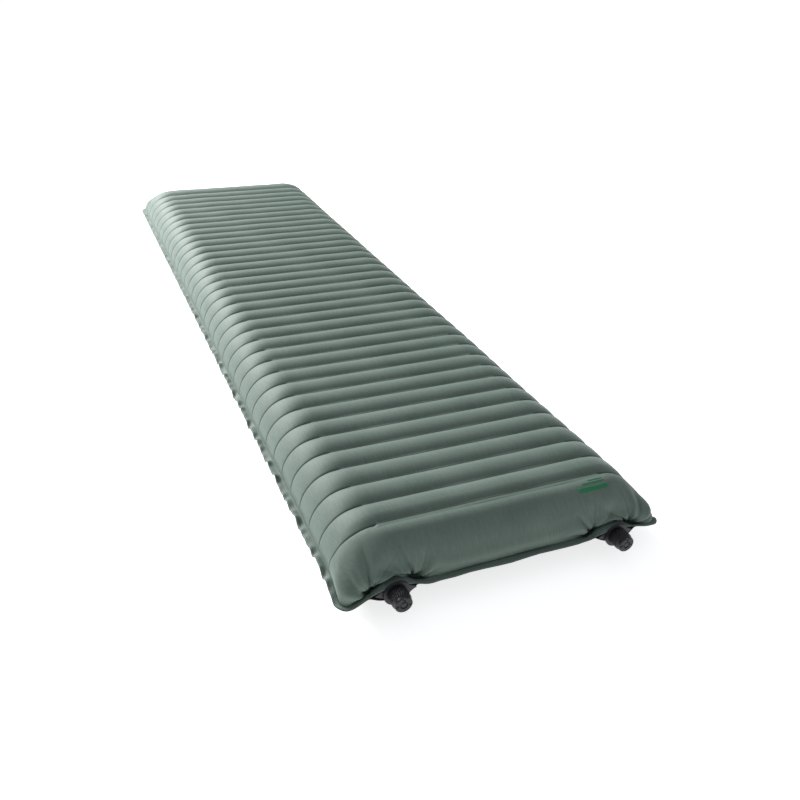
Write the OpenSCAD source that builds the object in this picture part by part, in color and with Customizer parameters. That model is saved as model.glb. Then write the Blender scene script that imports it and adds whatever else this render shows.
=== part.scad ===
// Inflatable sleeping pad: two fabric sheets welded all round, tied together across the width
// by upright webs, with two twist valves in the seam of one end.
// The pad lies along Y with its valve end towards -Y. X runs across it and Z up from the floor.

/* [Pad] */
// Length of the fabric, seam to seam
pad_l = 1830; // [1500:10:2000]
// Width of the fabric, seam to seam
pad_w = 510; // [460:10:640]
// Height from the floor to the crest of a chamber
pad_h = 108; // [90:1:120]
// Height of the welded seam above the floor
seam_h = 38; // [32:1:42]
// Width of the welded seam flange
seam_w = 10; // [6:1:14]
// Corner radius of the flat flange, whose corners stand out as small ears
flange_r = 30; // [20:1:50]
// Thickness of each coated fabric sheet
sheet_t = 0.6; // [0.4:0.1:1.0]

/* [Chambers] */
// Number of webs, which is also the number of grooves across the top
web_count = 37; // [25:2:37]
// Distance from one web to the next
web_pitch = 47.1; // [40:0.1:47.1]
// Rise of each chamber's crest above its grooves
chamber_rise = 7; // [4:0.5:9]
// Thickness of a web
web_t = 0.6; // [0.4:0.1:1.0]
// Width of the tab that welds a web to a sheet
web_tab_w = 7; // [4:0.5:10]
// Length left open between a web's end and the side wall, for air to pass
web_end_gap = 20; // [16:1:40]

/* [Valves] */
// Distance of each valve from the pad's centreline
valve_x = 175; // [140:1:180]
// Half-width of the boat-shaped foot that is welded into the seam
boat_half_w = 30; // [24:1:32]
// Half-height of the boat-shaped foot
boat_half_h = 9; // [7.5:0.5:10]
// Radius of the collar behind the knob
collar_r = 19; // [17:0.5:20]
// Radius over the knob's grip ribs
knob_r = 14; // [14:0.5:16]
// Number of grip ribs round the knob
rib_count = 28; // [16:1:32]
// Radius of the smooth nose that a pump bag's nozzle pushes onto
nose_r = 12.5; // [12:0.5:13]
// Distance that the knob travels outwards to open the valve
knob_travel = 4.5; // [3:0.5:4.5]

/* [Hidden] */
$fn = 96;
fit = 0.05;          // radial clearance of the sliding fits
slack = 0.3;         // gap between bodies that must not touch
knob_reach = 27;     // how far the knob's nose stands out of the seam's edge
mid_y = knob_reach / 2;  // centre of the fabric, so that the whole pad is centred on the origin

// inflated body, inside the flange
body_l = pad_l - 2 * seam_w;
body_w = pad_w - 2 * seam_w;
crown = 1;           // the plain blank stands this much above the crests
wall_r = pad_h + crown - seam_h;  // radius of the side walls and of the body's corners
arch_r = (pow(web_pitch / 2, 2) + pow(chamber_rise, 2)) / (2 * chamber_rise);
first_web = -(web_count - 1) / 2 * web_pitch;
web_top = pad_h - arch_r + sqrt(pow(arch_r - sheet_t, 2) - pow(web_pitch / 2, 2)) - 0.02;
web_tab_t = 0.5;
web_wall_gap = 12;   // a web's rounded corners stay this far inside the side walls

// valve, measured outwards from the edge of the seam
boat_l = 22;
collar_t = 3.2;
neck_r = 10.2;
neck_end = 18.5;
bore_r = 7;
spigot_r = 9;
spigot_end = -34;
boat_r = (pow(boat_half_w, 2) + pow(boat_half_h, 2)) / (2 * boat_half_h);
skirt_s = 4;
lip_t = 3.8;
ring_s = skirt_s + lip_t + knob_travel + 0.2;  // the knob's lip stops here when it is fully out
ring_t = 1.6;
seal_groove_s = ring_s + ring_t + 1.2;
seal_groove_t = 2.4;
relief_r = 11.8;
relief_end = 19.2;
end_wall_s = 21.5;
grip_end = 20.5;
shoulder_l = 1.5;
mouth_r = 5.3;
mouth_seal_s = 22.8;
mouth_seal_t = 2.4;
mouth_seal_r = 7.5;
plug_r = 4.5;
plug_end = 26;
flap_r = 8.2;
flap_t = 1;
flap_gap = 0.1;
cage_t = 2;
pivot_y = spigot_r + 0.3;
pivot_s = spigot_end - cage_t - flap_gap - flap_t / 2;

VALVE_PARTS = ["valve_base", "plug", "retaining_ring", "neck_seal", "mouth_seal", "cap"];
WEBS = [for (i = [1:web_count]) str("baffle_web_", i < 10 ? "0" : "", i)];

sage = [0.42, 0.52, 0.47];
under_grey = [0.34, 0.38, 0.37];
film_white = [0.86, 0.88, 0.86];
valve_black = [0.05, 0.05, 0.06];
seal_grey = [0.25, 0.25, 0.27];

// ---------------------------------------------------------------- fabric

// One side wall above the seam: a quarter round, with x measured from the corner's axis
module upper_wall(inset) {
    translate([0, seam_h]) intersection() {
        circle(wall_r - inset);
        square([wall_r, wall_r]);
    }
}

// One side wall below the seam: a quarter round that lands flat on the floor
module lower_wall(inset) {
    arc_x = wall_r - seam_h;
    translate([0, inset]) square([arc_x, seam_h - inset]);
    intersection() {
        translate([arc_x, seam_h]) circle(seam_h - inset);
        translate([arc_x, 0]) square([seam_h, seam_h]);
    }
}

module wall(inset, upper) {
    if (upper) upper_wall(inset);
    else lower_wall(inset);
}

// A wall section and its mirror image, with the flat between them
module cross_section(inset, upper, width) {
    half = width / 2 - wall_r;
    z0 = upper ? seam_h : inset;
    z1 = upper ? pad_h + crown - inset : seam_h;
    translate([-half, z0]) square([2 * half, z1 - z0]);
    for (side = [0, 1]) mirror([side, 0]) translate([half, 0]) wall(inset, upper);
}

// Half of the plain inflated body: the wall section carried round a rounded rectangle
module blank(inset, upper) {
    half_w = body_w / 2 - wall_r;
    half_l = body_l / 2 - wall_r;
    rotate([90, 0, 0]) linear_extrude(2 * half_l, center = true) cross_section(inset, upper, body_w);
    rotate([90, 0, 90]) linear_extrude(2 * half_w, center = true) cross_section(inset, upper, body_l);
    for (sx = [0, 1], sy = [0, 1])
        mirror([sx, 0, 0]) mirror([0, sy, 0]) translate([half_w, half_l, 0])
            rotate_extrude(angle = 90) wall(inset, upper);
}

// Long section of the upper half: one arch for each chamber, level over the two end chambers
module chamber_arches(inset) {
    base = seam_h - 20;
    translate([-pad_l / 2, base]) square([pad_l, pad_h - 20 - base]);
    for (k = [1:web_count - 1]) {
        crest = first_web + (k - 0.5) * web_pitch;
        intersection() {
            translate([crest, pad_h - arch_r]) circle(arch_r - inset);
            translate([crest - web_pitch / 2, base]) square([web_pitch, pad_h]);
        }
    }
    for (side = [0, 1]) mirror([side, 0]) {
        crest = first_web - web_pitch / 2;
        intersection() {
            translate([crest, pad_h - arch_r]) circle(arch_r - inset);
            translate([crest, base]) square([web_pitch / 2, pad_h]);
        }
        translate([-pad_l / 2, base]) square([crest + pad_l / 2, pad_h - inset - base]);
    }
}

module upper_body(inset) {
    intersection() {
        blank(inset, true);
        rotate([90, 0, 90]) linear_extrude(pad_w, center = true) chamber_arches(inset);
    }
}

// Flat outline of the sheets, flange included
module outline(height) {
    r = flange_r;
    linear_extrude(height) {
        square([pad_w - 2 * r, pad_l], center = true);
        square([pad_w, pad_l - 2 * r], center = true);
        for (sx = [-1, 1], sy = [-1, 1])
            translate([sx * (pad_w / 2 - r), sy * (pad_l / 2 - r)]) circle(r);
    }
}

// Eye-shaped section of a valve's foot, grown by an offset
module eye(grow) {
    intersection() {
        translate([0, boat_half_h - boat_r]) circle(boat_r + grow);
        translate([0, boat_r - boat_half_h]) circle(boat_r + grow);
    }
}

// The two sleeves that the sheets form round the valves' feet
module sleeves(grow, out, depth) {
    for (x = [-valve_x, valve_x])
        translate([x, -pad_l / 2 - out, seam_h]) rotate([-90, 0, 0])
            linear_extrude(out + depth) eye(grow);
}

module half_space(upper) {
    translate([-pad_w, -pad_l, upper ? seam_h : seam_h - 200]) cube([2 * pad_w, 2 * pad_l, 200]);
}

module top_sheet() {
    color(sage) translate([0, mid_y, 0]) difference() {
        union() {
            difference() {
                union() {
                    upper_body(0);
                    translate([0, 0, seam_h]) outline(sheet_t);
                }
                upper_body(sheet_t);
            }
            intersection() {
                sleeves(sheet_t, 0, boat_l + 1);
                half_space(true);
            }
        }
        sleeves(0, 1, boat_l + 2);
    }
}

module bottom_sheet() {
    color(under_grey) translate([0, mid_y, 0]) difference() {
        union() {
            difference() {
                union() {
                    blank(0, false);
                    translate([0, 0, seam_h - sheet_t]) outline(sheet_t);
                }
                blank(sheet_t, false);
            }
            intersection() {
                sleeves(sheet_t, 0, boat_l + 1);
                half_space(false);
            }
        }
        sleeves(0, 1, boat_l + 2);
    }
}

// A web: as tall as the air space, round-shouldered and cut square at both ends, with a weld tab
// along each edge
module baffle_web(i) {
    y = mid_y + first_web + (i - 1) * web_pitch;
    half = body_w / 2 - web_end_gap;
    tab_half = body_w / 2 - wall_r;
    color(film_white) translate([0, y, 0]) {
        rotate([90, 0, 0]) linear_extrude(web_t, center = true) {
            intersection() {
                union() for (upper = [true, false]) cross_section(sheet_t + web_wall_gap, upper, body_w);
                translate([-half, 0]) square([2 * half, web_top]);
            }
            translate([-tab_half, sheet_t]) square([2 * tab_half, web_top - sheet_t]);
        }
        for (z = [sheet_t, web_top - web_tab_t])
            translate([-tab_half, -web_tab_w / 2, z]) cube([2 * tab_half, web_tab_w, web_tab_t]);
    }
}

// ---------------------------------------------------------------- valves

// Puts a shape drawn along +Z at a valve's place, with z = 0 at the seam's edge and +z outwards
module at_valve(x) {
    translate([x, mid_y - pad_l / 2, seam_h]) rotate([90, 0, 0]) children();
}

module ring(z0, z1, inner_r, outer_r) {
    translate([0, 0, z0]) difference() {
        cylinder(h = z1 - z0, r = outer_r);
        translate([0, 0, -1]) cylinder(h = z1 - z0 + 2, r = inner_r);
    }
}

// Foot, collar, neck and inner spigot, moulded in one piece round the air way
module valve_base() {
    groove_r = neck_r - 0.8;
    color(valve_black) difference() {
        union() {
            translate([0, 0, -boat_l]) linear_extrude(boat_l - 0.2) eye(-0.1);
            translate([0, 0, -0.2]) cylinder(h = 0.2, r = boat_half_h - 0.5);
            cylinder(h = collar_t, r = collar_r);
            cylinder(h = neck_end, r = neck_r);
            translate([0, 0, spigot_end]) cylinder(h = -spigot_end, r = spigot_r - 1.8);
            translate([0, 0, spigot_end]) cylinder(h = -spigot_end - boat_l, r = spigot_r);
        }
        translate([0, 0, spigot_end - 1]) cylinder(h = neck_end - spigot_end + 2, r = bore_r - 1.6);
        translate([0, 0, -2]) cylinder(h = neck_end + 4, r = bore_r);
        ring(ring_s, ring_s + ring_t, groove_r, neck_r + 1);
        ring(seal_groove_s, seal_groove_s + seal_groove_t, groove_r, neck_r + 1);
    }
}

// Fixed plug on a three-armed spider: the knob's mouth closes round it
module plug() {
    hub_r = 2;
    hub_start = -3;
    arm_start = -1.9;
    arm_t = 1.6;
    arm_h = 4;
    head_start = mouth_seal_s - 0.6;
    bevel = 0.8;
    color(valve_black) union() {
        rotate_extrude() polygon([
            [0, hub_start], [hub_r, hub_start], [hub_r, head_start], [plug_r, head_start],
            [plug_r, plug_end], [plug_r - bevel, plug_end + bevel], [0, plug_end + bevel]
        ]);
        for (a = [0, 120, 240]) rotate([0, 0, a])
            translate([hub_r / 2, -arm_t / 2, arm_start]) cube([bore_r - fit - hub_r / 2, arm_t, arm_h]);
    }
}

// Split ring on the neck that stops the knob at the end of its travel
module retaining_ring() {
    color(seal_grey) difference() {
        ring(ring_s + 0.05, ring_s + ring_t - 0.05, neck_r - 0.8, relief_r - slack);
        translate([0, -1.5, ring_s - 1]) cube([20, 3, ring_t + 2]);
    }
}

// O-ring that seals the knob to the neck
module neck_seal() {
    wire_r = (relief_r - fit - (neck_r - 0.8)) / 2;
    color(seal_grey) rotate_extrude()
        translate([neck_r - 0.8 + wire_r, seal_groove_s + seal_groove_t / 2]) circle(wire_r, $fn = 32);
}

// Soft ring in the knob's mouth. It slides with the knob and need not turn with it
module mouth_seal() {
    color(seal_grey) ring(mouth_seal_s, mouth_seal_s + mouth_seal_t, plug_r + fit, mouth_seal_r);
}

// Twist knob: ribbed grip, smooth nose and a mouth across which two bars stand
module cap() {
    rib_r = 0.7;
    bar_w = 2;
    color(valve_black) difference() {
        union() {
            translate([0, 0, skirt_s]) cylinder(h = grip_end - skirt_s, r = knob_r - rib_r);
            for (i = [0:rib_count - 1]) rotate([0, 0, i * 360 / rib_count])
                translate([knob_r - rib_r, 0, skirt_s + 1])
                    cylinder(h = grip_end - skirt_s - 2, r = rib_r, $fn = 16);
            translate([0, 0, grip_end])
                cylinder(h = shoulder_l, r1 = knob_r - rib_r, r2 = nose_r);
            translate([0, 0, grip_end]) cylinder(h = knob_reach - grip_end, r = nose_r);
        }
        translate([0, 0, skirt_s - 1]) cylinder(h = lip_t + 2, r = neck_r + fit);
        translate([0, 0, skirt_s + lip_t]) cylinder(h = relief_end - skirt_s - lip_t, r = relief_r);
        translate([0, 0, skirt_s + lip_t]) cylinder(h = end_wall_s - skirt_s - lip_t, r = nose_r - 1.8);
        translate([0, 0, end_wall_s - 1]) cylinder(h = knob_reach, r = mouth_r);
        ring(mouth_seal_s - 0.1, mouth_seal_s + mouth_seal_t + 0.1, 1, mouth_seal_r + 0.1);
        for (a = [45:90:315]) rotate([0, 0, a])
            translate([mouth_r + 1.6, -bar_w / 2, knob_reach - 1.2]) cube([nose_r, bar_w, 2]);
    }
}

// Four-armed grid on the inner end of the spigot, with two lugs bored for the flap's pivot
module flap_cage() {
    s = spigot_end - cage_t;
    lug_r = 0.9;
    color(valve_black) difference() {
        union() {
            ring(s, spigot_end, bore_r - 1.6, spigot_r);
            for (a = [0, 90]) rotate([0, 0, a])
                translate([-bore_r + 1, -0.6, s]) cube([2 * bore_r - 2, 1.2, cage_t]);
            for (x = [-4.5, 3]) {
                translate([x, bore_r, s]) cube([1.5, pivot_y + lug_r - bore_r, cage_t]);
                translate([x, pivot_y - lug_r, s - 2.6]) cube([1.5, 2 * lug_r, 2.6 + cage_t]);
            }
        }
        pivot(flap_t / 2 + fit, 12);
    }
}

module pivot(r, length) {
    translate([-length / 2, pivot_y, pivot_s]) rotate([0, 90, 0]) cylinder(h = length, r = r);
}

// Silicone one-way flap: its tab ends in a round bar that turns in the cage's lugs
module flap() {
    s = spigot_end - cage_t - flap_gap;
    color(seal_grey) {
        translate([0, 0, s - flap_t]) cylinder(h = flap_t, r = flap_r);
        translate([-2.6, 0, s - flap_t]) cube([5.2, pivot_y, flap_t]);
        pivot(flap_t / 2, 7.8);
    }
}

// ---------------------------------------------------------------- what is drawn

top_sheet();
bottom_sheet();
at_valve(-valve_x) valve_base();  // inflation_valve_base
at_valve(-valve_x) plug();  // inflation_plug
at_valve(-valve_x) retaining_ring();  // inflation_retaining_ring
at_valve(-valve_x) neck_seal();  // inflation_neck_seal
at_valve(-valve_x) mouth_seal();  // inflation_mouth_seal
at_valve(-valve_x) cap();  // inflation_cap
at_valve(-valve_x) flap_cage();  // inflation_flap_cage
at_valve(-valve_x) flap();  // inflation_flap
at_valve(valve_x) valve_base();  // deflation_valve_base
at_valve(valve_x) plug();  // deflation_plug
at_valve(valve_x) retaining_ring();  // deflation_retaining_ring
at_valve(valve_x) neck_seal();  // deflation_neck_seal
at_valve(valve_x) mouth_seal();  // deflation_mouth_seal
at_valve(valve_x) cap();  // deflation_cap
for (i = [1:web_count])
    baffle_web(i);
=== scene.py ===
import math

import bpy
import numpy as np
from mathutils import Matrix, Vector


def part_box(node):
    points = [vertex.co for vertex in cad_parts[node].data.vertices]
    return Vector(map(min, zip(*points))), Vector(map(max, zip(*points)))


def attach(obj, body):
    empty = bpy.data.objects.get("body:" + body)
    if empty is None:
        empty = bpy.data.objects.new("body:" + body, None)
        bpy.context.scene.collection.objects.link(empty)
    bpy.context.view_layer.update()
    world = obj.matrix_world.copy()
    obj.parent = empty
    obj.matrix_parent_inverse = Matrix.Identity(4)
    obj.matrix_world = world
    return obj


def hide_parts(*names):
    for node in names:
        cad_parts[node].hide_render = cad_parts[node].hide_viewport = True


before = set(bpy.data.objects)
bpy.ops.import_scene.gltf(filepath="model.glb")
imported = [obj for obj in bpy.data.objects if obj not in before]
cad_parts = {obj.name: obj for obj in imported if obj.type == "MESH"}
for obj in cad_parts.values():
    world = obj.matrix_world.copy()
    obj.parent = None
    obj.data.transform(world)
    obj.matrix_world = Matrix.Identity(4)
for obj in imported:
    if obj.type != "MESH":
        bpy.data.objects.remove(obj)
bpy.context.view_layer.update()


# ---------------------------------------------------------------- camera
# Stands past the pad's left valve corner, a little above waist height,
# and looks up the pad towards its far end.

sheet_low, sheet_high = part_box("top_sheet")
MIDDLE_Y = (sheet_low.y + sheet_high.y) / 2

camera = bpy.data.objects.new("camera", bpy.data.cameras.new("camera"))
bpy.context.scene.collection.objects.link(camera)
bpy.context.scene.camera = camera
camera.data.lens = 36.865
camera.location = (-0.5163, MIDDLE_Y - 1.6572, 0.7875)
camera.rotation_euler = [math.radians(a) for a in (60.624, -2.248, -22.975)]


# ---------------------------------------------------------------- floor and light
# A plain white floor, a wide soft panel low behind the pad's left side that rakes over the chambers,
# and an even pale surround.


def stage_material(name, colour, roughness, glow):
    """A material with one colour, one roughness and a little glow, for the stage only."""
    made = bpy.data.materials.new(name)
    made.use_nodes = True
    shader = made.node_tree.nodes["Principled BSDF"]
    shader.inputs["Base Color"].default_value = (*colour, 1)
    shader.inputs["Roughness"].default_value = roughness
    shader.inputs["Emission Color"].default_value = (1, 1, 1, 1)
    shader.inputs["Emission Strength"].default_value = glow
    return made


def panel(name, place, aim, size, power):
    """A rectangular soft light at a place, turned towards a point."""
    data = bpy.data.lights.new(name, "AREA")
    data.shape = "RECTANGLE"
    data.size, data.size_y = size
    data.energy = power
    lamp = bpy.data.objects.new(name, data)
    bpy.context.scene.collection.objects.link(lamp)
    lamp.location = place
    lamp.rotation_euler = (Vector(aim) - Vector(place)).to_track_quat("-Z", "Y").to_euler()


floor_mesh = bpy.data.meshes.new("floor")
floor_mesh.from_pydata([(-30, -30, 0), (30, -30, 0), (30, 30, 0), (-30, 30, 0)], [], [(0, 1, 2, 3)])
floor = bpy.data.objects.new("floor", floor_mesh)
bpy.context.scene.collection.objects.link(floor)
floor_mesh.materials.append(stage_material("white floor", (0.90, 0.90, 0.90), 0.9, 0.72))
floor.location.z = -0.0005

surround = bpy.data.worlds.new("studio")
surround.use_nodes = True
surround.node_tree.nodes["Background"].inputs["Color"].default_value = (0.93, 0.97, 1.0, 1)
surround.node_tree.nodes["Background"].inputs["Strength"].default_value = 0.38
bpy.context.scene.world = surround
bpy.context.scene.view_settings.view_transform = "Standard"

panel("back left panel", (-1.85, 3.8, 2.45), (0, 0.1, 0.05), (3.2, 1.2), 440)


# ---------------------------------------------------------------- top sheet
# One sheet of coated plain-weave nylon, cut square with small round corners. Air arches it between
# the webs, and it rolls over the sides to the weld with the bottom sheet, where a narrow flange stands out.

HALF_W = (sheet_high.x - sheet_low.x) / 2
HALF_L = (sheet_high.y - sheet_low.y) / 2
NEAR_Y = MIDDLE_Y - HALF_L
SEAM_Z = sheet_low.z
CREST_Z = sheet_high.z
WALL_REACH = 0.0735       # how far the side wall stands out past the flat top
WALL_TURN = math.radians(96)   # the wall has turned this far when it meets the seam
WALL_HEIGHT = (CREST_Z - SEAM_Z) / (1 - math.cos(WALL_TURN))
SEAM_REACH = WALL_REACH * math.sin(WALL_TURN)
BODY_CORNER = 0.013       # plan radius of the inflated body's corners at the seam
FLANGE_REACH = 0.084      # from the flat top's edge to the cut edge
FLANGE = FLANGE_REACH - SEAM_REACH
CUT_CORNER = 0.023        # plan radius of the cut corners
SHARP_CORNER = 0.011      # the one that was cut closest, beside the deflation valve
TOP_HALF_W = HALF_W - FLANGE_REACH
TOP_HALF_L = HALF_L - FLANGE_REACH
CORNER_DROOP = 0.016      # the corner beside the inflation valve curls down this far
CURL_FILL = 0.0055        # and its flange is narrower by this, filled out by the body
SHARP_FILL = 0.0090       # as is the flange of the sharp corner
FILL_SPREAD = 0.045
DROOP_SPREAD = 0.035
LINE_DEPTH = 0.0011       # of the weld line at the bottom of each groove
LINE_HALF_W = 0.0012
# half width of the painted shade along the seam, where the wall meets the flange
SEAM_SHADE_HALF_W = 0.0016
OVERHANG = 0.0035         # the end wall bulges out over its seam by this
SLACK = 0.0005            # height of the cloth's long shallow waves
PUCKER_REACH = 0.038      # the folds round a valve die away over this distance
PUCKER_WIDE = 0.0074      # heights of the wide and the fine folds
PUCKER_FINE = 0.0034
GATHER_DEPTH = 0.0075     # how far the cloth is pulled in where the folds meet
FABRIC = 0.0005

GROOVES = np.array(sorted(
    (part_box(n)[0].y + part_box(n)[1].y) / 2 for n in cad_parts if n.startswith("baffle_web")))
PITCH = (GROOVES[-1] - GROOVES[0]) / (len(GROOVES) - 1)
CHAMBER_RISE = 0.0082
WEB_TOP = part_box("baffle_web_01")[1].z
TAB_HALF_W = 0.0042       # half of a web's weld tab, and a little more
OVER_WEB = 0.0009         # the cloth's outer face lies this far over the tab

VALVES_X = [(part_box(n)[0].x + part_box(n)[1].x) / 2 for n in ("inflation_valve_base", "deflation_valve_base")]
LENS_HALF_W = (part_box("inflation_valve_base")[1].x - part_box("inflation_valve_base")[0].x) / 2 + 0.003
LENS_RISE = 0.0125        # the sheet's rise over a valve's foot at the inner end of the weld
LENS_EDGE_RISE = 0.0099   # and at the cut edge
LENS_DENT = 0.006         # how far the seam steps inwards round a foot
TIPS_X = [v + side * LENS_HALF_W for v in VALVES_X for side in (-1, 1)]
TIP_PULL = 0.0055         # how far the cloth is drawn in at each end of a foot


def smooth(x, low, high):
    """0 below low, 1 above high, and a smooth cubic between."""
    t = np.clip((x - low) / (high - low), 0, 1)
    return t * t * (3 - 2 * t)


def waves(s, seed, lengths):
    """Sum of sines of several wavelengths with seeded phases, about 1 high."""
    phases = np.random.default_rng(seed).uniform(0, 2 * math.pi, len(lengths))
    total = sum(np.sin(2 * math.pi * s / l + p) for l, p in zip(lengths, phases))
    return total / math.sqrt(len(lengths))


def curve_length(reach, height, turn):
    """Length of an ellipse's arc from its top, from many short chords."""
    a = np.linspace(0, turn, 400)
    return float(np.hypot(np.diff(reach * np.sin(a)), np.diff(height * np.cos(a))).sum())


def grid_lines(half_flat, wall, steps, extra):
    """Sheet distances where the grid has a line: the extra ones on the flat, and each side's wall and
    flange in even steps, with the low side's steps first in the list of three."""
    low, high, across = steps
    sides = []
    for sign, step in ((-1, low), (1, high)):
        n_wall = int(round(wall / step))
        n_flange = int(round(FLANGE / across))
        sides.append(sign * (half_flat + wall * np.arange(n_wall + 1) / n_wall))
        sides.append(sign * (half_flat + wall + FLANGE * np.arange(1, n_flange + 1) / n_flange))
    lines = np.unique(np.round(np.concatenate([*sides, extra]), 6))
    return lines[np.concatenate([[True], np.diff(lines) > 0.00035])]


def rounded(past_x, past_y):
    """Square to disc: concentric squares of sheet become concentric circles. Gives the distance gone from
    the flat top's edge and its direction, whose angle grows evenly along each square's side."""
    longer = np.maximum(past_x, past_y)
    share = np.minimum(past_x, past_y) / np.maximum(longer, 1e-9)
    angle = math.pi / 4 * np.where(past_x >= past_y, share, 2 - share)
    return longer, np.cos(angle), np.sin(angle)


def corner_reach(reach, corner, cx, cy):
    """Distance from a corner's axis to a square of a given half-size with rounded corners, along a
    direction: to the straight side where that is hit first, or else to the corner's circle."""
    inner = reach - corner
    longer = np.maximum(np.maximum(cx, cy), 1e-9)
    along = inner * (cx + cy)
    circle = along + np.sqrt(np.maximum(along ** 2 - 2 * inner ** 2 + corner ** 2, 0))
    return np.where(reach * np.minimum(cx, cy) / longer <= inner, reach / longer, circle)


def valve_share(x):
    """1 over a valve's middle, falling as an arc to 0 at the ends of its foot."""
    return sum(np.clip(1 - ((x - v) / LENS_HALF_W) ** 2, 0, 1) for v in VALVES_X)


def tip_share(x):
    """1 at each end of a valve's foot, falling to 0 within 15 mm as a bell."""
    return sum(np.exp(-((x - tip) / 0.010) ** 2) for tip in TIPS_X)


def ripple(x, y, cx, cy):
    """Height of the flange's buckles at its cut edge: the inflated body is shorter than the flat flange,
    so the cut edge waves, most of all in the half by the valves."""
    slack = 0.0016 + 0.0022 * smooth(-(y - MIDDLE_Y), -0.3, 0.4)
    along_side = waves(y, 3, (0.023, 0.037, 0.052, 0.11))
    along_end = 0.35 * waves(x, 5, (0.09, 0.15, 0.045))
    return slack * (cx ** 2 * along_side + cy ** 2 * along_end)


def sheet_shape(qx, qy, wall, profile, proud):
    """The welded and inflated sheet before its grooves: flat inside, a wall profile carried round a
    rounded rectangle, and the flange out to the cut edge. Gives the points and, at each, how far down the
    wall and out on the flange it lies, and how near to a valve, to the near end and to the curled corner."""
    QX, QY = np.meshgrid(qx, qy)
    past, cx, cy = rounded(np.maximum(np.abs(QX) - TOP_HALF_W, 0), np.maximum(np.abs(QY) - TOP_HALF_L, 0))
    on_wall = np.clip(past / wall, 0, 1)
    on_flange = np.clip((past - wall) / FLANGE, 0, 1)
    reach, z = profile(on_wall)
    corner = np.minimum(reach, reach + (BODY_CORNER - reach) * smooth(on_wall, 0.35, 1))
    body = corner_reach(reach, corner, cx, cy)
    cut_corner = np.where((QX > 0) & (QY < 0), SHARP_CORNER, CUT_CORNER)
    cut = corner_reach(FLANGE_REACH + proud, cut_corner, cx, cy)
    in_front = (QY < 0) * smooth(cy, 0, 0.8)
    rough_x = np.sign(QX) * (np.minimum(np.abs(QX), TOP_HALF_W) + body * cx)
    at_valve = valve_share(rough_x) * in_front
    low = smooth(on_wall, 0.5, 1)
    rough_y = np.sign(QY) * (np.minimum(np.abs(QY), TOP_HALF_L) + body * cy)
    near_corner = np.exp(-((np.abs(rough_x) - HALF_W) ** 2 + (rough_y + HALF_L) ** 2) / FILL_SPREAD ** 2)
    body = body + np.where(QX < 0, CURL_FILL, SHARP_FILL) * near_corner * low
    body = body - (LENS_DENT * at_valve + TIP_PULL * tip_share(rough_x) * in_front) * low
    cut = cut - 0.7 * TIP_PULL * tip_share(rough_x) * in_front
    out = body + (cut - body) * on_flange
    x = np.sign(QX) * (np.minimum(np.abs(QX), TOP_HALF_W) + out * cx)
    y = MIDDLE_Y + np.sign(QY) * (np.minimum(np.abs(QY), TOP_HALF_L) + out * cy)
    droop = np.exp(-((x + HALF_W) ** 2 + (y - NEAR_Y) ** 2) / DROOP_SPREAD ** 2)
    buckle = ripple(x, y, cx, cy) * smooth(on_flange, 0, 1) * (1 - at_valve)
    points, cloth = np.stack([x, y, z], -1), np.stack([QX, QY], -1)
    return points, cloth, on_wall, on_flange, at_valve, in_front, droop, buckle


def surface_normals(p):
    """Unit normals of a grid of points, from the differences along its rows and columns."""
    n = np.cross(np.gradient(p, axis=1), np.gradient(p, axis=0))
    return n / np.maximum(np.linalg.norm(n, axis=-1, keepdims=True), 1e-12)


def grid_piece(name, points, uv, crease_shade, outward=True):
    """Mesh of a grid of points, one quad for each cell, with a UV map in metres and a value at each
    point for how much painted shade it takes, most down in creases."""
    rows, columns = points.shape[:2]
    index = np.arange(rows * columns).reshape(rows, columns)
    quads = np.stack([index[:-1, :-1], index[:-1, 1:], index[1:, 1:], index[1:, :-1]], -1).reshape(-1, 4)
    if not outward:
        quads = quads[:, ::-1]
    mesh = bpy.data.meshes.new(name)
    mesh.from_pydata(points.reshape(-1, 3).tolist(), [], quads.tolist())
    layer = mesh.uv_layers.new(name="cloth")
    corners = np.zeros(len(mesh.loops), np.int32)
    mesh.loops.foreach_get("vertex_index", corners)
    layer.data.foreach_set("uv", uv.reshape(-1, 2)[corners].astype(np.float32).ravel())
    shade_attribute = mesh.attributes.new("crease_shade", "FLOAT", "POINT")
    shade_attribute.data.foreach_set("value", crease_shade.astype(np.float32).ravel())
    mesh.polygons.foreach_set("use_smooth", np.ones(len(mesh.polygons), bool))
    piece = bpy.data.objects.new(name, mesh)
    bpy.context.scene.collection.objects.link(piece)
    return piece


def solid_cloth(piece, thickness):
    """Gives a single surface the cloth's thickness, on its inner side."""
    shell = piece.modifiers.new("cloth thickness", "SOLIDIFY")
    shell.thickness = thickness
    shell.offset = -1


def top_profile(t):
    """Just over a quarter of an ellipse: level at the top and upright at the seam."""
    a = WALL_TURN * t
    return WALL_REACH * np.sin(a), CREST_Z - WALL_HEIGHT * (1 - np.cos(a))


def nearest_groove(y):
    """Distance to the nearest web's weld line."""
    return np.min(np.abs(y[..., None] - GROOVES), axis=-1)


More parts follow.
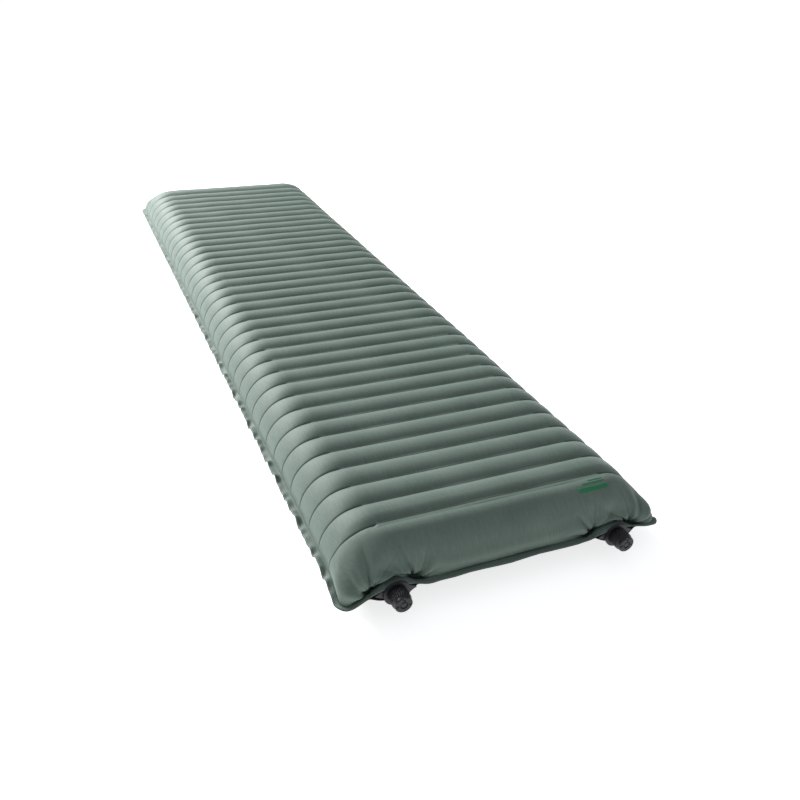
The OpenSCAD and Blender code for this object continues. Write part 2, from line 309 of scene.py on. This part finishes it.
def puckers(x, climb):
    """Folds that fan out from the ends of each valve's foot. In polar terms round each end they are
    rounded ridges with sharp valleys, the size of a rectified sine, which die away with distance; the
    end itself is pulled in as a bell. Also gives a painted shade for the colour, darkest at each end
    and down the valleys between the folds."""
    total = np.zeros(x.shape)
    shade = np.zeros(x.shape)
    for i, tip in enumerate(TIPS_X):
        far = np.hypot(x - tip, climb)
        angle = np.arctan2(x - tip, climb + 0.003)
        wide = np.abs(np.sin(4.6 * angle + 1.3 * i)) - 0.64
        fine = np.abs(np.sin(7.9 * angle + 2.1 * i)) - 0.64
        fade = np.exp(-(far / PUCKER_REACH) ** 1.7) * smooth(far, 0, 0.006)
        total += (PUCKER_WIDE * wide + PUCKER_FINE * fine) * fade - GATHER_DEPTH * np.exp(-(far / 0.012) ** 2)
        # painted shade: a dark spot at each end, and dark valleys between the folds
        shade += 0.5 * np.exp(-(far / 0.0065) ** 2) + 2.3 * np.clip(-wide - 0.32, 0, 1) * fade
    return total, np.clip(shade, 0, 1)


TOP_WALL = curve_length(WALL_REACH, WALL_HEIGHT, WALL_TURN)
groove_steps = np.array([0, 0.0007, 0.0014, 0.0024, 0.0042, 0.007, 0.011, 0.016, PITCH / 2])
groove_rows = (GROOVES[:, None] - MIDDLE_Y + np.concatenate([-groove_steps[1:-1], groove_steps])).ravel()
valve_columns = np.concatenate([v + np.linspace(-0.057, 0.057, 61) for v in VALVES_X])
top_columns = np.concatenate([np.linspace(-0.11, 0.11, 11), valve_columns])
qx = grid_lines(TOP_HALF_W, TOP_WALL, (0.0028, 0.0028, 0.0022), top_columns)
qy = grid_lines(TOP_HALF_L, TOP_WALL, (0.0017, 0.0028, 0.0022), groove_rows)

points, cloth_uv, on_wall, on_flange, at_valve, in_front, droop, buckle = sheet_shape(
    qx, qy, TOP_WALL, top_profile, 0)
out = surface_normals(points)
down_side = np.clip((np.abs(cloth_uv[..., 0]) - TOP_HALF_W) / TOP_WALL, 0, 1)
nearest = nearest_groove(points[..., 1])
away = np.clip(1 - nearest / (PITCH / 2), 0, 1)
fullness = 0.84 * np.exp(-(down_side / 0.30) ** 2) + 0.16 * (1 - smooth(down_side, 0.55, 0.95))
arch = CHAMBER_RISE * away ** 2.1 * fullness * (1 - on_flange)
line_share = (1 - smooth(down_side, 0.86, 0.99)) * (1 - 0.25 * smooth(down_side, 0, 0.3))
line = np.exp(-(nearest / LINE_HALF_W) ** 2) * line_share * (1 - smooth(on_wall * in_front, 0.5, 0.8))
climb = (1 - on_wall) * TOP_WALL
folds, fold_shade = puckers(points[..., 0], climb)
folding = in_front * smooth(on_wall, 0.1, 0.4) * (1 - smooth(on_flange, 0, 0.25))
overhang = OVERHANG * in_front * np.exp(-((on_wall - 0.86) / 0.10) ** 2) * (1 + 0.8 * at_valve)
slack = SLACK * waves(cloth_uv[..., 0] + 0.3 * cloth_uv[..., 1], 11, (0.11, 0.17, 0.26)) * (1 - on_flange)
points = points + out * (folds * folding + overhang + slack - arch - LINE_DEPTH * line)[..., None]
rise = at_valve * (LENS_RISE + (LENS_EDGE_RISE - LENS_RISE) * on_flange) * smooth(on_wall, 0.72, 1)
points[..., 2] += rise + buckle - CORNER_DROOP * droop * smooth(on_wall, 0.3, 1)
over_tab = (1 - smooth(nearest, TAB_HALF_W, 0.0075)) * (1 - smooth(down_side, 0.05, 0.14)) * (on_wall < 0.6)
points[..., 2] += np.maximum(WEB_TOP + OVER_WEB - points[..., 2], 0) * over_tab
# Painted shade for the cloth's colour: the weld line down each groove, the seam where the wall meets the flange
# (most along the near end), and the valleys and ends of the folds round the valves.
seam_shade = np.exp(-((on_flange * FLANGE + climb) / SEAM_SHADE_HALF_W) ** 2)
crease_shade = np.clip(line + seam_shade * (0.35 + 0.65 * in_front) + fold_shade * folding, 0, 1)
top_sheet = grid_piece("top_sheet_cloth", points, cloth_uv, crease_shade)
solid_cloth(top_sheet, FABRIC)


def link(tree, *pairs):
    for source, target in pairs:
        tree.links.new(source, target)


def cloth_material(name, colour, darker, crease_shade_colour, roughness, sheen):
    """Coated plain weave: crossed threads in the bump, streaks along the warp, soft patches of dye and
    gloss, and a darker colour mixed in as painted shade down in the creases."""
    made = bpy.data.materials.new(name)
    made.use_nodes = True
    tree = made.node_tree
    node = tree.nodes.new
    shader = tree.nodes["Principled BSDF"]
    uv = node("ShaderNodeUVMap")
    uv.uv_map = "cloth"

    warp = node("ShaderNodeMapping")
    warp.inputs["Scale"].default_value = (1, 0.12, 1)
    streaks = node("ShaderNodeTexNoise")
    streaks.inputs["Scale"].default_value = 420
    streaks.inputs["Detail"].default_value = 2
    patches = node("ShaderNodeTexNoise")
    patches.inputs["Scale"].default_value = 14
    patches.inputs["Detail"].default_value = 6
    grain = node("ShaderNodeTexNoise")
    grain.inputs["Scale"].default_value = 520
    grain.inputs["Detail"].default_value = 2
    link(tree, (uv.outputs["UV"], warp.inputs["Vector"]), (warp.outputs["Vector"], streaks.inputs["Vector"]),
         (uv.outputs["UV"], patches.inputs["Vector"]), (uv.outputs["UV"], grain.inputs["Vector"]))

    both = node("ShaderNodeMath")
    both.operation = "ADD"
    all_three = node("ShaderNodeMath")
    all_three.operation = "ADD"
    tone = node("ShaderNodeMapRange")
    tone.inputs["From Min"].default_value = 1.15
    tone.inputs["From Max"].default_value = 1.85
    mix = node("ShaderNodeMix")
    mix.data_type = "RGBA"
    mix.inputs["A"].default_value = (*darker, 1)
    mix.inputs["B"].default_value = (*colour, 1)
    link(tree, (streaks.outputs["Fac"], both.inputs[0]), (grain.outputs["Fac"], both.inputs[1]),
         (both.outputs["Value"], all_three.inputs[0]), (patches.outputs["Fac"], all_three.inputs[1]),
         (all_three.outputs["Value"], tone.inputs["Value"]), (tone.outputs["Result"], mix.inputs["Factor"]))

    # painted shade: the point values mix a darker colour into the cloth's own
    shade_attribute = node("ShaderNodeAttribute")
    shade_attribute.attribute_name = "crease_shade"
    crease_shaded = node("ShaderNodeMix")
    crease_shaded.data_type = "RGBA"
    crease_shaded.inputs["B"].default_value = (*crease_shade_colour, 1)
    link(tree, (shade_attribute.outputs["Fac"], crease_shaded.inputs["Factor"]), (mix.outputs["Result"], crease_shaded.inputs["A"]),
         (crease_shaded.outputs["Result"], shader.inputs["Base Color"]))

    gloss = node("ShaderNodeMapRange")
    gloss.inputs["To Min"].default_value = roughness - 0.07
    gloss.inputs["To Max"].default_value = roughness + 0.07
    link(tree, (patches.outputs["Fac"], gloss.inputs["Value"]),
         (gloss.outputs["Result"], shader.inputs["Roughness"]))

    threads = []
    for direction in ("X", "Y"):
        wave = node("ShaderNodeTexWave")
        wave.wave_type = "BANDS"
        wave.bands_direction = direction
        wave.inputs["Scale"].default_value = 260
        wave.inputs["Distortion"].default_value = 0.6
        wave.inputs["Detail"].default_value = 1
        link(tree, (uv.outputs["UV"], wave.inputs["Vector"]))
        threads.append(wave)
    weave = node("ShaderNodeMath")
    weave.operation = "MAXIMUM"
    height = node("ShaderNodeMath")
    height.operation = "MULTIPLY_ADD"
    height.inputs[1].default_value = 0.5
    bump = node("ShaderNodeBump")
    bump.inputs["Strength"].default_value = 0.35
    bump.inputs["Distance"].default_value = 0.0004
    link(tree, (threads[0].outputs["Fac"], weave.inputs[0]), (threads[1].outputs["Fac"], weave.inputs[1]),
         (weave.outputs["Value"], height.inputs[0]), (both.outputs["Value"], height.inputs[2]),
         (height.outputs["Value"], bump.inputs["Height"]), (bump.outputs["Normal"], shader.inputs["Normal"]))
    shader.inputs["Specular IOR Level"].default_value = 0.3
    shader.inputs["Sheen Weight"].default_value = sheen
    shader.inputs["Sheen Roughness"].default_value = 0.4
    shader.inputs["Sheen Tint"].default_value = (0.9, 1.0, 0.95, 1)
    return made


# The third colour is painted shade, for the creases.
top_cloth = cloth_material("sage coated nylon", (0.158, 0.210, 0.180), (0.120, 0.165, 0.141),
                           (0.026, 0.044, 0.035), 0.60, 0.12)
top_sheet.data.materials.append(top_cloth)
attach(top_sheet, "pad")
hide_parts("top_sheet")


# ---------------------------------------------------------------- printed mark
# A plain printed bar with two thin lines above it, on the end chamber above the deflation valve.
# Screen-printed ink, a thin film on the cloth.

MARK_X = 0.155
MARK_Y = NEAR_Y + 0.043
INK = 0.0002


def on_cloth(x, y):
    """Points of the finished top sheet at sheet distances x and y, from the four grid points round each."""
    i = np.clip(np.searchsorted(qy, y) - 1, 0, len(qy) - 2)[:, None]
    j = np.clip(np.searchsorted(qx, x) - 1, 0, len(qx) - 2)[None, :]
    v = ((y[:, None] - qy[i]) / (qy[i + 1] - qy[i]))[..., None]
    u = ((x[None, :] - qx[j]) / (qx[j + 1] - qx[j]))[..., None]
    low = points[i, j] * (1 - u) + points[i, j + 1] * u
    high = points[i + 1, j] * (1 - u) + points[i + 1, j + 1] * u
    return low * (1 - v) + high * v


def printed_bar(name, middle_x, middle_y, length, height):
    """A rectangle of ink laid on the cloth, its grid lifted off the cloth by the ink's thickness."""
    x = middle_x + np.linspace(-length / 2, length / 2, 25)
    y = middle_y - MIDDLE_Y + np.linspace(-height / 2, height / 2, 9)
    laid = on_cloth(x, y)
    laid = laid + surface_normals(laid) * 2 * INK
    uv = np.stack(np.meshgrid(x, y), -1)
    bar = grid_piece(name, laid, uv, np.zeros(laid.shape[:2]))
    solid_cloth(bar, INK)
    return bar


mark_ink = cloth_material("green ink", (0.040, 0.240, 0.110), (0.025, 0.170, 0.080),
                          (0.01, 0.05, 0.03), 0.4, 0.0)
for name, shift_x, shift_y, length, height in (
        ("printed_bar", 0, 0, 0.052, 0.0075), ("printed_line_1", 0.004, 0.0095, 0.040, 0.0018),
        ("printed_line_2", 0.010, 0.0140, 0.026, 0.0014)):
    bar = printed_bar(name, MARK_X + shift_x, MARK_Y + shift_y, length, height)
    bar.data.materials.append(mark_ink)
    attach(bar, "pad")


# ---------------------------------------------------------------- bottom sheet
# The same cut in a near-black cloth. It rests on the floor under the chambers and curls up to the weld,
# where its edge shows as a thin dark line below the top sheet's. Its grid has the top sheet's rows and
# columns, so that the two flanges buckle alike.

FLOOR_FLAT = 0.002        # the sheet lies on the floor this far past the top's flat part
BOTTOM_TURN = math.radians(75)
BOTTOM_HEIGHT = SEAM_Z / (1 - math.cos(BOTTOM_TURN))
BOTTOM_BULGE = (SEAM_REACH - FLOOR_FLAT) / math.sin(BOTTOM_TURN)
BOTTOM_CURL = curve_length(BOTTOM_BULGE, BOTTOM_HEIGHT, BOTTOM_TURN)
BOTTOM_WALL = BOTTOM_CURL + FLOOR_FLAT
FLOOR_CREASE = 0.0005
BOTTOM_PROUD = 0.0003     # its cut edge stands out past the top sheet's
FLANGE_GAP = 0.0007       # between the flange's two outer faces, where the weld has pressed the cloths
STEEP_GAP = 0.0007        # more of it along the sides, where the buckles are steep


def bottom_profile(t):
    """Flat for the first part of the way, then an ellipse that curls up to the seam."""
    s = t * BOTTOM_WALL
    a = np.clip((s - FLOOR_FLAT) / BOTTOM_CURL, 0, 1) * BOTTOM_TURN
    return np.minimum(s, FLOOR_FLAT) + BOTTOM_BULGE * np.sin(a), BOTTOM_HEIGHT * (1 - np.cos(a))


bx = grid_lines(TOP_HALF_W, BOTTOM_WALL, (0.0035, 0.0035, 0.0022), top_columns)
by = grid_lines(TOP_HALF_L, BOTTOM_WALL, (0.0030, 0.0035, 0.0022), groove_rows)
low_points, low_uv, on_wall, on_flange, at_valve, in_front, droop, buckle = sheet_shape(
    bx, by, BOTTOM_WALL, bottom_profile, BOTTOM_PROUD)
low_points[..., 2] *= 1 - CORNER_DROOP / SEAM_Z * droop
low_line = np.exp(-(nearest_groove(low_points[..., 1]) / 0.0022) ** 2)
low_line = low_line * (1 - smooth(on_wall, 0.2, 0.5)) * (1 - on_flange)
low_points[..., 2] += FLOOR_CREASE * low_line + buckle
under_top = FLANGE_GAP + STEEP_GAP * (1 - in_front)
low_points[..., 2] -= (LENS_EDGE_RISE * at_valve + under_top) * smooth(on_wall, 0.72, 1)
# The ridge lines under the grooves also take painted shade, a darker colour down the creases.
bottom_sheet = grid_piece("bottom_sheet_cloth", low_points, low_uv, low_line, outward=False)
solid_cloth(bottom_sheet, FABRIC)
bottom_sheet.data.materials.append(cloth_material(
    "near-black coated nylon", (0.022, 0.028, 0.028), (0.015, 0.019, 0.019), (0.006, 0.008, 0.008), 0.5, 0.1))
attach(bottom_sheet, "pad")
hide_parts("bottom_sheet")


# ---------------------------------------------------------------- webs
# Upright strips of thin coated film, one under each groove, welded to both sheets along their tabs.


def film_material(name, colour, roughness):
    """Thin coated film: faint cloudy patches in its tone and gloss, on a fine ripple."""
    made = bpy.data.materials.new(name)
    made.use_nodes = True
    tree = made.node_tree
    shader = tree.nodes["Principled BSDF"]
    place = tree.nodes.new("ShaderNodeTexCoord")
    clouds = tree.nodes.new("ShaderNodeTexNoise")
    clouds.inputs["Scale"].default_value = 35
    clouds.inputs["Detail"].default_value = 5
    tone = tree.nodes.new("ShaderNodeMix")
    tone.data_type = "RGBA"
    tone.inputs["A"].default_value = (*[c * 0.85 for c in colour], 1)
    tone.inputs["B"].default_value = (*colour, 1)
    gloss = tree.nodes.new("ShaderNodeMapRange")
    gloss.inputs["To Min"].default_value = roughness - 0.1
    gloss.inputs["To Max"].default_value = roughness + 0.1
    bump = tree.nodes.new("ShaderNodeBump")
    bump.inputs["Strength"].default_value = 0.3
    bump.inputs["Distance"].default_value = 0.0004
    link(tree, (place.outputs["Object"], clouds.inputs["Vector"]),
         (clouds.outputs["Fac"], tone.inputs["Factor"]), (tone.outputs["Result"], shader.inputs["Base Color"]),
         (clouds.outputs["Fac"], gloss.inputs["Value"]), (gloss.outputs["Result"], shader.inputs["Roughness"]),
         (clouds.outputs["Fac"], bump.inputs["Height"]), (bump.outputs["Normal"], shader.inputs["Normal"]))
    return made


film = film_material("coated web film", (0.62, 0.64, 0.62), 0.5)
for name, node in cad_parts.items():
    if name.startswith("baffle_web"):
        node.data.materials.clear()
        node.data.materials.append(film)


# ---------------------------------------------------------------- valve bodies and seals
# Moulded black nylon: a foot welded into the seam, a collar, a neck and a spigot with its flap's cage.
# The O-ring, the mouth ring, the split ring and the flap are soft grey silicone.


def moulded_material(name, colour, worn, roughness, grain_scale, grain_depth):
    """Moulded plastic or rubber: fine spark-eroded grain, faint scuffs in the gloss, and a lighter tone
    where sharp edges have rubbed."""
    made = bpy.data.materials.new(name)
    made.use_nodes = True
    tree = made.node_tree
    node = tree.nodes.new
    shader = tree.nodes["Principled BSDF"]
    place = node("ShaderNodeTexCoord")
    grain = node("ShaderNodeTexNoise")
    grain.inputs["Scale"].default_value = grain_scale
    scuffs = node("ShaderNodeTexNoise")
    scuffs.inputs["Scale"].default_value = 90
    scuffs.inputs["Detail"].default_value = 6
    gloss = node("ShaderNodeMapRange")
    gloss.inputs["To Min"].default_value = roughness - 0.08
    gloss.inputs["To Max"].default_value = roughness + 0.10
    edge = node("ShaderNodeNewGeometry")
    sharp = node("ShaderNodeMapRange")
    sharp.inputs["From Min"].default_value = 0.53
    sharp.inputs["From Max"].default_value = 0.62
    rubbed = node("ShaderNodeMath")
    rubbed.operation = "MULTIPLY"
    tone = node("ShaderNodeMix")
    tone.data_type = "RGBA"
    tone.inputs["A"].default_value = (*colour, 1)
    tone.inputs["B"].default_value = (*worn, 1)
    bump = node("ShaderNodeBump")
    bump.inputs["Strength"].default_value = 0.3
    bump.inputs["Distance"].default_value = grain_depth
    link(tree, (place.outputs["Object"], grain.inputs["Vector"]),
         (place.outputs["Object"], scuffs.inputs["Vector"]),
         (scuffs.outputs["Fac"], gloss.inputs["Value"]), (gloss.outputs["Result"], shader.inputs["Roughness"]),
         (edge.outputs["Pointiness"], sharp.inputs["Value"]), (sharp.outputs["Result"], rubbed.inputs[0]),
         (scuffs.outputs["Fac"], rubbed.inputs[1]), (rubbed.outputs["Value"], tone.inputs["Factor"]),
         (tone.outputs["Result"], shader.inputs["Base Color"]),
         (grain.outputs["Fac"], bump.inputs["Height"]), (bump.outputs["Normal"], shader.inputs["Normal"]))
    return made


black_nylon = moulded_material("black moulded nylon", (0.006, 0.005, 0.009), (0.040, 0.036, 0.052),
                               0.40, 1800, 0.00004)
silicone = moulded_material("grey silicone", (0.045, 0.045, 0.050), (0.06, 0.06, 0.065), 0.55, 2400, 0.00002)
for name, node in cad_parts.items():
    if name.startswith(("inflation_", "deflation_")):
        soft = name.endswith(("seal", "flap", "ring"))
        node.data.materials.clear()
        node.data.materials.append(silicone if soft else black_nylon)


# ---------------------------------------------------------------- twist knobs
# One moulding each, turned to open the valve: a ribbed grip on a short skirt, a smooth nose for a pump
# bag's nozzle, and an end face with four slots round the mouth.

knob_low, knob_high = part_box("inflation_cap")
GRIP_R = (knob_high.x - knob_low.x) / 2
SEAM_EDGE_Y = NEAR_Y
NOSE_OUT = SEAM_EDGE_Y - knob_low.y
SKIRT_OUT = SEAM_EDGE_Y - knob_high.y
KNOB_Z = (knob_low.z + knob_high.z) / 2
GRIP_END = NOSE_OUT - 0.0065
NOSE_R = 0.0125
MOUTH_R = 0.0053
INNER_R = 0.0118
NECK_GAP_R = 0.01025
RIBS = 28
RIB_DEPTH = 0.0010
SLOT_DEPTH = 0.0011


def rounded_run(points, radius, steps=4):
    """A closed outline whose corners are rounded by quadratic curves that start a radius before each."""
    run = []
    points = np.array(points)
    for before, here, after in zip(np.roll(points, 1, 0), points, np.roll(points, -1, 0)):
        a = here + (before - here) * min(0.45, radius / np.linalg.norm(before - here))
        b = here + (after - here) * min(0.45, radius / np.linalg.norm(after - here))
        for t in np.linspace(0, 1, steps):
            run.append((1 - t) ** 2 * a + 2 * t * (1 - t) * here + t ** 2 * b)
    return np.array(run)


def knob_piece(name, middle_x):
    """A closed outline of radius against distance out, turned round the valve's axis. The grip's radius
    falls by a rectified sine between its ribs, and the end face sinks where a slot crosses it."""
    outline = rounded_run([
        (MOUTH_R, NOSE_OUT - 0.0055), (MOUTH_R, NOSE_OUT - 0.0006), (MOUTH_R + 0.0007, NOSE_OUT),
        (0.0070, NOSE_OUT), (0.0080, NOSE_OUT), (0.0108, NOSE_OUT), (NOSE_R, NOSE_OUT - 0.0012),
        (NOSE_R, GRIP_END + 0.0015), (GRIP_R - 0.0008, GRIP_END), (GRIP_R, GRIP_END - 0.0012),
        (GRIP_R, (GRIP_END + SKIRT_OUT) / 2), (GRIP_R, SKIRT_OUT + 0.0013), (GRIP_R - 0.0007, SKIRT_OUT),
        (NECK_GAP_R, SKIRT_OUT), (NECK_GAP_R, SKIRT_OUT + 0.0038), (INNER_R, SKIRT_OUT + 0.0038),
        (INNER_R, NOSE_OUT - 0.0078), (NOSE_R - 0.0018, NOSE_OUT - 0.0078),
        (NOSE_R - 0.0018, NOSE_OUT - 0.0055)], 0.0005)
    turn = np.linspace(0, 2 * math.pi, RIBS * 8, endpoint=False)
    r, s = outline[:, 0][:, None], outline[:, 1][:, None]
    on_grip = smooth(s, SKIRT_OUT + 0.0005, SKIRT_OUT + 0.0016) * (1 - smooth(s, GRIP_END - 0.0014, GRIP_END))
    on_grip = on_grip * (r > GRIP_R - 0.0009)
    ribbed = r - RIB_DEPTH * on_grip * (1 - np.abs(np.cos(RIBS / 2 * turn))[None, :])
    in_slot = smooth(np.abs(np.cos(2 * turn)), 0.90, 0.96)[None, :]
    on_face = smooth(r, 0.0068, 0.0074) * (1 - smooth(r, 0.0112, 0.0118)) * (s > NOSE_OUT - 0.0004)
    sunk = s - SLOT_DEPTH * in_slot * on_face
    verts = np.stack(np.broadcast_arrays(
        middle_x + ribbed * np.cos(turn), SEAM_EDGE_Y - sunk, KNOB_Z + ribbed * np.sin(turn)), -1)
    rows, columns = verts.shape[:2]
    index = np.arange(rows * columns).reshape(rows, columns)
    across, on = np.roll(index, -1, 0), np.roll(index, -1, 1)
    quads = np.stack([index, across, np.roll(across, -1, 1), on], -1).reshape(-1, 4)
    mesh = bpy.data.meshes.new(name)
    mesh.from_pydata(verts.reshape(-1, 3).tolist(), [], quads.tolist())
    mesh.polygons.foreach_set("use_smooth", np.ones(len(mesh.polygons), bool))
    piece = bpy.data.objects.new(name, mesh)
    bpy.context.scene.collection.objects.link(piece)
    return piece


for side, middle_x in zip(("inflation", "deflation"), VALVES_X):
    knob = knob_piece(f"{side}_knob_moulding", middle_x)
    knob.data.materials.append(black_nylon)
    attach(knob, f"{side}_knob")
    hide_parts(f"{side}_cap")
